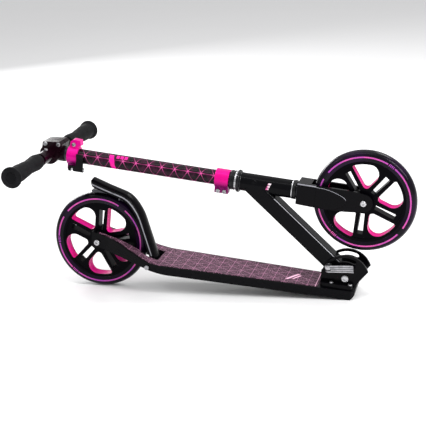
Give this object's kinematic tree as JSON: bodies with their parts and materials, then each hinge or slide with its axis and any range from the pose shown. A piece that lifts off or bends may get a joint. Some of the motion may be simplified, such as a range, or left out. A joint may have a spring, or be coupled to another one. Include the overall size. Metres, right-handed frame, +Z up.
{
  "type": "kick scooter",
  "caption": "Folding kick scooter with two large spoked wheels, foot brake, quick release fold and a telescopic handlebar, stored folded.",
  "frame": {"origin": "on the ground under the middle of the folded scooter's bounding box", "axes": "+X along the scooter towards the front wheel (longest side), +Y to the side away from the fold lever, +Z up (shortest side)"},
  "size_m": [0.8116, 0.444, 0.3341],
  "materials": {
    "black_frame": "satin black powder coat",
    "black_tube": "gloss black with a printed pink line pattern",
    "grip_tape": "sanded grip tape with a pink triangle grid",
    "tyre": "cast black tyre with a pink ring",
    "rim": "black rim with pink inner walls",
    "pink_metal": "pink anodised",
    "silver": "bright plated",
    "steel": "zinc plated",
    "black_plastic": "moulded black",
    "grip_rubber": "soft ribbed rubber"
  },
  "bodies": {
    "deck": {"deck": "black_frame", "grip_tape": "grip_tape", "deck_end_cap": "black_plastic", "fold_bracket": "black_frame", "bracket_screws": "steel", "fold_pivot_bolt": "steel", "fold_pivot_nut": "steel", "rear_axle_bolt": "steel", "rear_axle_nut": "steel", "rear_axle_spacers": "steel", "fender_pin": "steel", "fender_nut": "steel", "torsion_spring": "steel"},
    "rear_wheel": {"rear_rim": "rim", "rear_tyre": "tyre", "rear_bearings": "steel", "rear_bearing_spacer": "steel"},
    "foot_brake": {"fender": "black_plastic", "brake_pad": "steel", "brake_rivets": "steel"},
    "neck": {"neck": "black_frame", "pivot_bush": "black_plastic", "headset_lower_cup": "black_frame", "headset_upper_cup": "black_frame", "headset_bearings": "steel", "fold_skewer": "silver", "fold_skewer_nut": "silver", "fold_cam_washer": "silver"},
    "fold_lever": {"fold_lever": "silver", "fold_lever_pin": "silver"},
    "steering": {"fork": "black_frame", "steerer": "steel", "crown_race": "steel", "headset_collar": "black_frame", "stem_tube": "black_tube", "lower_clamp": "pink_metal", "lower_clamp_bolts": "steel", "upper_clamp": "pink_metal", "clamp_stop_bolt": "silver", "clamp_skewer": "silver", "clamp_nut": "silver", "clamp_cam_washer": "silver", "mast_bush": "black_plastic", "front_axle_bolt": "steel", "front_axle_nut": "steel", "front_axle_spacers": "steel"},
    "clamp_lever": {"clamp_lever": "black_plastic", "clamp_lever_pin": "silver"},
    "front_wheel": {"front_rim": "rim", "front_tyre": "tyre", "front_bearings": "steel", "front_bearing_spacer": "steel"},
    "handlebar": {"mast": "steel", "bar_block": "black_frame", "block_bolts": "steel", "bar_tubes": "black_frame", "grips": "grip_rubber", "end_plugs": "black_plastic"},
    "button_left": {"spring_button_left": "steel"},
    "button_right": {"spring_button_right": "steel"}
  },
  "joints": [
    {"name": "rear_wheel_spin", "type": "hinge", "parent": "deck", "child": "rear_wheel", "pos_m": [-0.28772, 0, 0.1075], "axis": [0, 1, 0], "continuous": true},
    {"name": "brake_press", "type": "hinge", "parent": "deck", "child": "foot_brake", "pos_m": [-0.16652, 0, 0.06389], "axis": [0, -1, 0], "range_deg": [0, 1.3], "stiffness_Nm_per_rad": 1.5, "springref_deg": -11.46},
    {"name": "fold", "type": "hinge", "parent": "deck", "child": "neck", "pos_m": [0.25671, 0, 0.04079], "axis": [0, 1, 0], "range_deg": [0, 81.86]},
    {"name": "fold_lever_open", "type": "hinge", "parent": "neck", "child": "fold_lever", "pos_m": [0.2243, -0.0337, 0.06591], "axis": [0.0214, 0, -0.9998], "range_deg": [0, 150]},
    {"name": "steer", "type": "hinge", "parent": "neck", "child": "steering", "pos_m": [0.29837, 0, 0.20492], "axis": [-0.9895, 0, 0.1448], "range_deg": [-60, 60]},
    {"name": "front_wheel_spin", "type": "hinge", "parent": "steering", "child": "front_wheel", "pos_m": [0.29837, 0, 0.20492], "axis": [0, 1, 0], "continuous": true},
    {"name": "clamp_lever_open", "type": "hinge", "parent": "steering", "child": "clamp_lever", "pos_m": [-0.33469, -0.0174, 0.2713], "axis": [0.9895, 0, -0.1448], "range_deg": [0, 150]},
    {"name": "bar_height", "type": "slide", "parent": "steering", "child": "handlebar", "axis": [-0.9895, 0, 0.1448], "range_m": [0, 0.22]},
    {"name": "press_button_left", "type": "slide", "parent": "handlebar", "child": "button_left", "axis": [-0.1448, 0, -0.9895], "range_m": [0, 0.0035], "stiffness_N_per_m": 300, "springref_m": -0.003},
    {"name": "press_button_right", "type": "slide", "parent": "handlebar", "child": "button_right", "axis": [-0.1448, 0, -0.9895], "range_m": [0, 0.0035], "stiffness_N_per_m": 300, "springref_m": -0.003}
  ]
}
